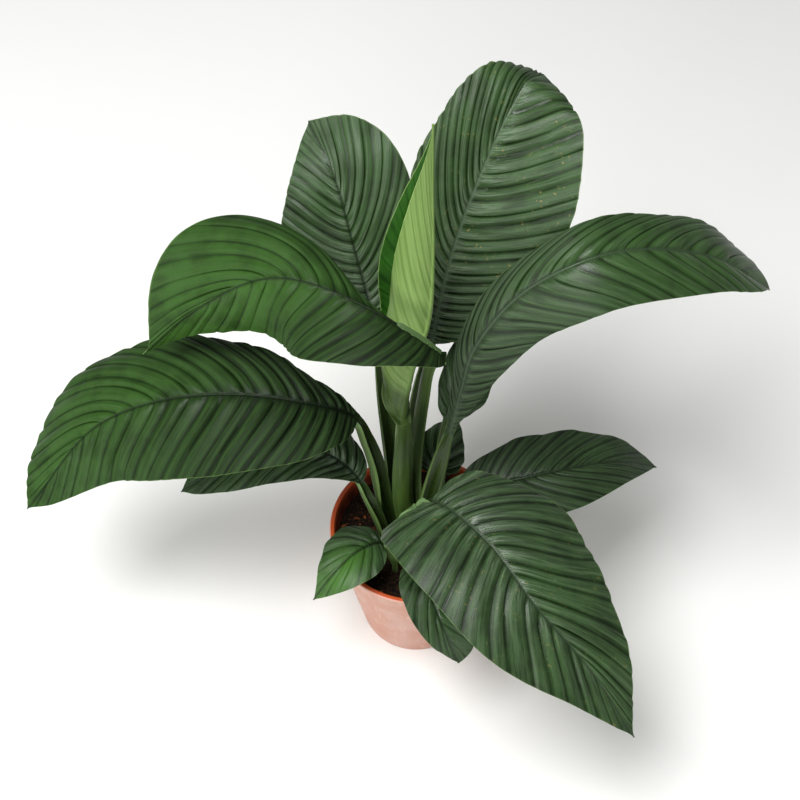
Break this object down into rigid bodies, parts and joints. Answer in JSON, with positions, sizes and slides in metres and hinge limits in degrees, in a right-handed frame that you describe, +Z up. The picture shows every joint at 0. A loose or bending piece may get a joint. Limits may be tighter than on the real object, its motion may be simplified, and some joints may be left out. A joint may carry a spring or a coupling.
{
  "type": "potted peace lily",
  "caption": "Leafy peace lily with broad pleated leaves arching on long stalks from a tapered plastic nursery pot filled with dark soil, with no flowers.",
  "frame": {"origin": "centre of the pot's underside, level with the foot ring that it stands on", "axes": "+Z up along the pot's axis, -Y towards the front, which is the side that the picture was taken from, +X to the picture's right"},
  "size_m": [0.8378, 0.525, 0.8],
  "materials": {
    "pot_plastic": "thin moulded terracotta-coloured plastic, pale and dusty outside",
    "potting_soil": "loose dark peat with bark chips",
    "leaf": "deep green, waxy satin above",
    "new_leaf": "pale yellow-green, satin"
  },
  "bodies": {
    "root": {"pot": "pot_plastic", "soil": "potting_soil", "leaf_back_tall": "leaf", "leaf_back_left": "leaf", "leaf_upper_left": "leaf", "leaf_lower_left": "leaf", "leaf_low_left": "leaf", "leaf_upper_right": "leaf", "leaf_behind_right": "leaf", "leaf_front": "leaf", "leaf_low_right": "leaf", "leaf_small_front_left": "leaf", "leaf_small_front": "leaf", "leaf_small_right": "leaf", "leaf_rolled": "new_leaf"}
  },
  "joints": []
}
